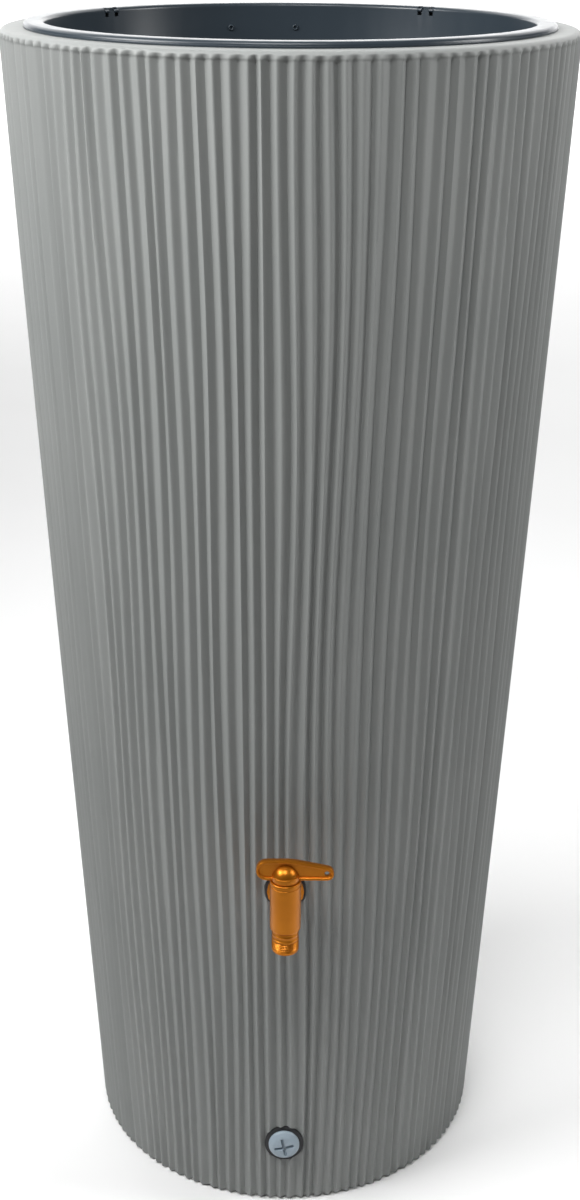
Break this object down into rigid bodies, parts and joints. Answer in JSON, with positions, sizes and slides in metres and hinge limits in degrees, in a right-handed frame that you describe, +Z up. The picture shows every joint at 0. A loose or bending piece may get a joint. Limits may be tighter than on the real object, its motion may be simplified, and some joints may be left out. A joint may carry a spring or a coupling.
{
  "type": "rain barrel",
  "caption": "Tapered fluted rain barrel with a planter bowl in its mouth, a quarter-turn tap on the front wall and a screwed drain plug near the foot.",
  "frame": {"origin": "centre of the flat base, on the ground", "axes": "+Z up along the tank's axis; -Y towards the tap and the drain plug (front); +X to the right seen from the front"},
  "size_m": [0.5793, 0.5925, 1.23],
  "materials": {
    "tank_plastic": "matte moulded polyethylene, zinc grey",
    "bowl_plastic": "semi-gloss moulded plastic, anthracite blue",
    "gold_finish": "satin gold-bronze metallised plastic",
    "insert_brass": "turned brass",
    "seal_rubber": "black moulded rubber",
    "valve_plastic": "natural acetal",
    "plug_plastic": "satin moulded plastic, light blue-grey"
  },
  "bodies": {
    "tank": {"tank_shell": "tank_plastic", "tap_insert": "insert_brass", "tap_gasket": "seal_rubber", "lock_ring": "gold_finish", "tap_body": "gold_finish", "port_seal": "seal_rubber", "gland_ring": "insert_brass", "drain_insert": "insert_brass"},
    "bowl": {"planter_bowl": "bowl_plastic"},
    "handle": {"tap_handle": "gold_finish", "valve_plug": "valve_plastic", "plug_o_rings": "seal_rubber"},
    "drain_seal": {"drain_gasket": "seal_rubber"},
    "drain_screw": {"drain_plug": "plug_plastic"}
  },
  "joints": [
    {"name": "bowl_lift", "type": "slide", "parent": "tank", "child": "bowl", "axis": [0, 0, 1], "range_m": [0, 0.24]},
    {"name": "tap_turn", "type": "hinge", "parent": "tank", "child": "handle", "pos_m": [0, -0.28766, 0.4355], "axis": [0, 0, 1], "range_deg": [-90, 0]},
    {"name": "drain_out", "type": "slide", "parent": "tank", "child": "drain_seal", "axis": [0, -1, 0], "range_m": [0, 0.018]},
    {"name": "drain_turn", "type": "hinge", "parent": "drain_seal", "child": "drain_screw", "pos_m": [0, -0.2162, 0.075], "axis": [0, -1, 0], "range_deg": [0, 3564]}
  ],
  "couplings": [
    {"joint": "drain_out", "follows": "drain_turn", "m_per_rad": 0.00028871}
  ]
}
